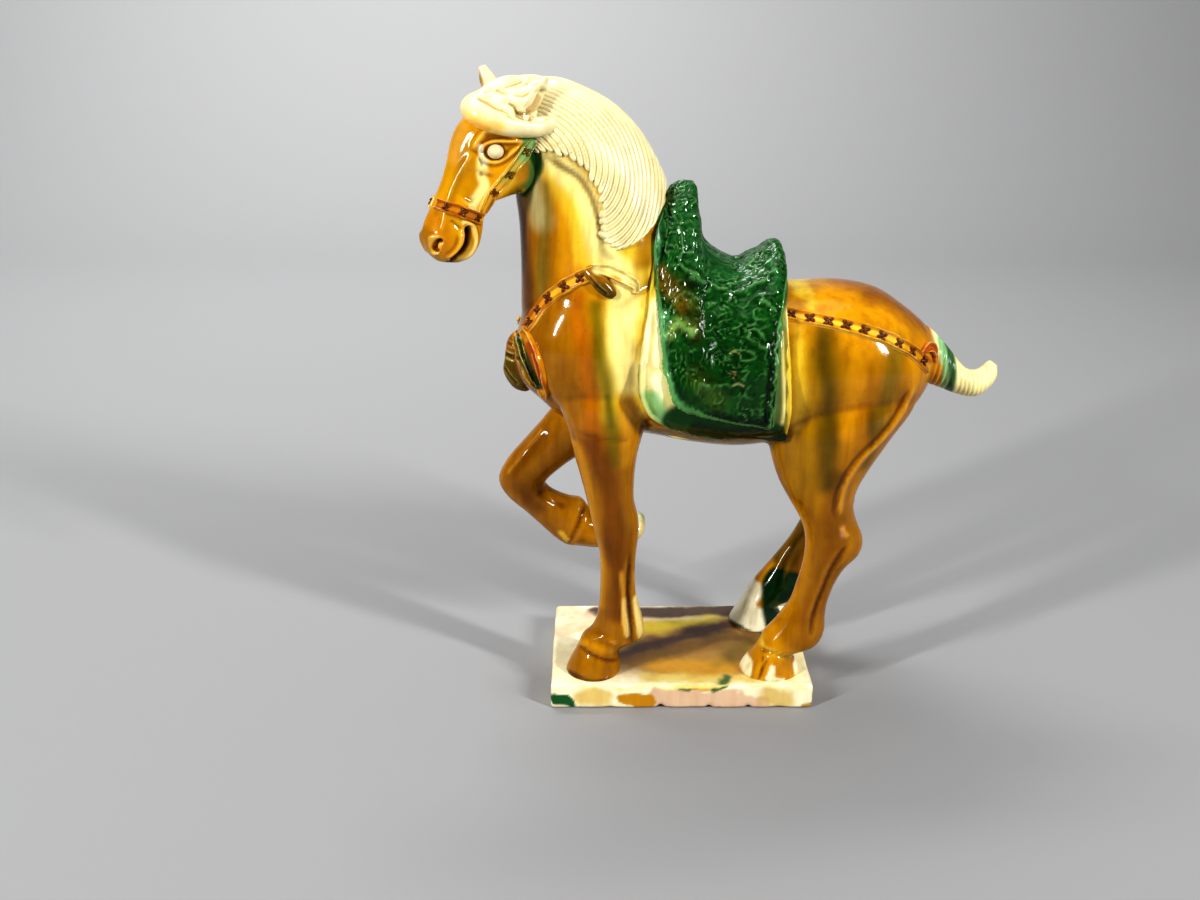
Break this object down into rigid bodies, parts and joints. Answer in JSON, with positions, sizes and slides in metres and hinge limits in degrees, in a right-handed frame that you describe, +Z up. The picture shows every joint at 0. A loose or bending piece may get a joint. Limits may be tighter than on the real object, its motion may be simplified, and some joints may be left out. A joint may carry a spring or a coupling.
{
  "type": "glazed ceramic horse figure",
  "caption": "Standing saddled ceramic horse on a rectangular plinth, head turned to its left, one foreleg raised, combed mane, harness bands, amber, green and cream glaze.",
  "frame": {"origin": "middle of the plinth's flat underside", "axes": "+Z up; the horse faces -X, and its left side, the one the head turns to, faces -Y"},
  "size_m": [0.226, 0.0782, 0.252],
  "materials": {
    "lead_glaze": "glossy three-colour lead glaze over white earthenware: amber coat, green saddle, cream mane"
  },
  "bodies": {
    "root": {"horse_figure": "lead_glaze"}
  },
  "joints": []
}
